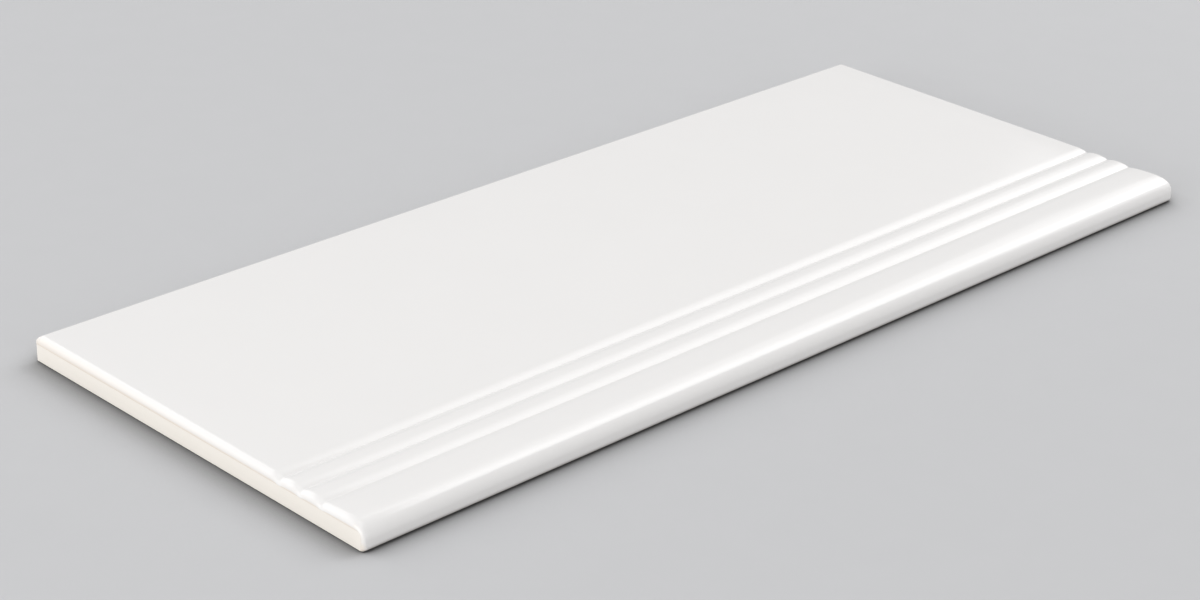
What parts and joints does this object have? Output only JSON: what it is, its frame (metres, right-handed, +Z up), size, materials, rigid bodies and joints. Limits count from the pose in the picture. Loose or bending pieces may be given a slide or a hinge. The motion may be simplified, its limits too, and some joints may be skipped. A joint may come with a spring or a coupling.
{
  "type": "stair tread tile",
  "caption": "Flat oblong glazed ceramic stair tread tile with a rounded nosing, anti-slip grooves along its front edge and a keyed back.",
  "frame": {"origin": "middle of the footprint on the underside, the plane that the tile is bedded on", "axes": "+X runs along the step, -Y points out of the stair over the nosing, +Y points back to the riser, and +Z points up out of the tread"},
  "size_m": [0.6, 0.255, 0.014],
  "materials": {
    "glazed_tile": "glossy white glaze on the tread, the nosing and the arrises, with bare cream biscuit at the ends, the back edge and the underside"
  },
  "bodies": {
    "root": {"stair_tread_tile": "glazed_tile"}
  },
  "joints": []
}
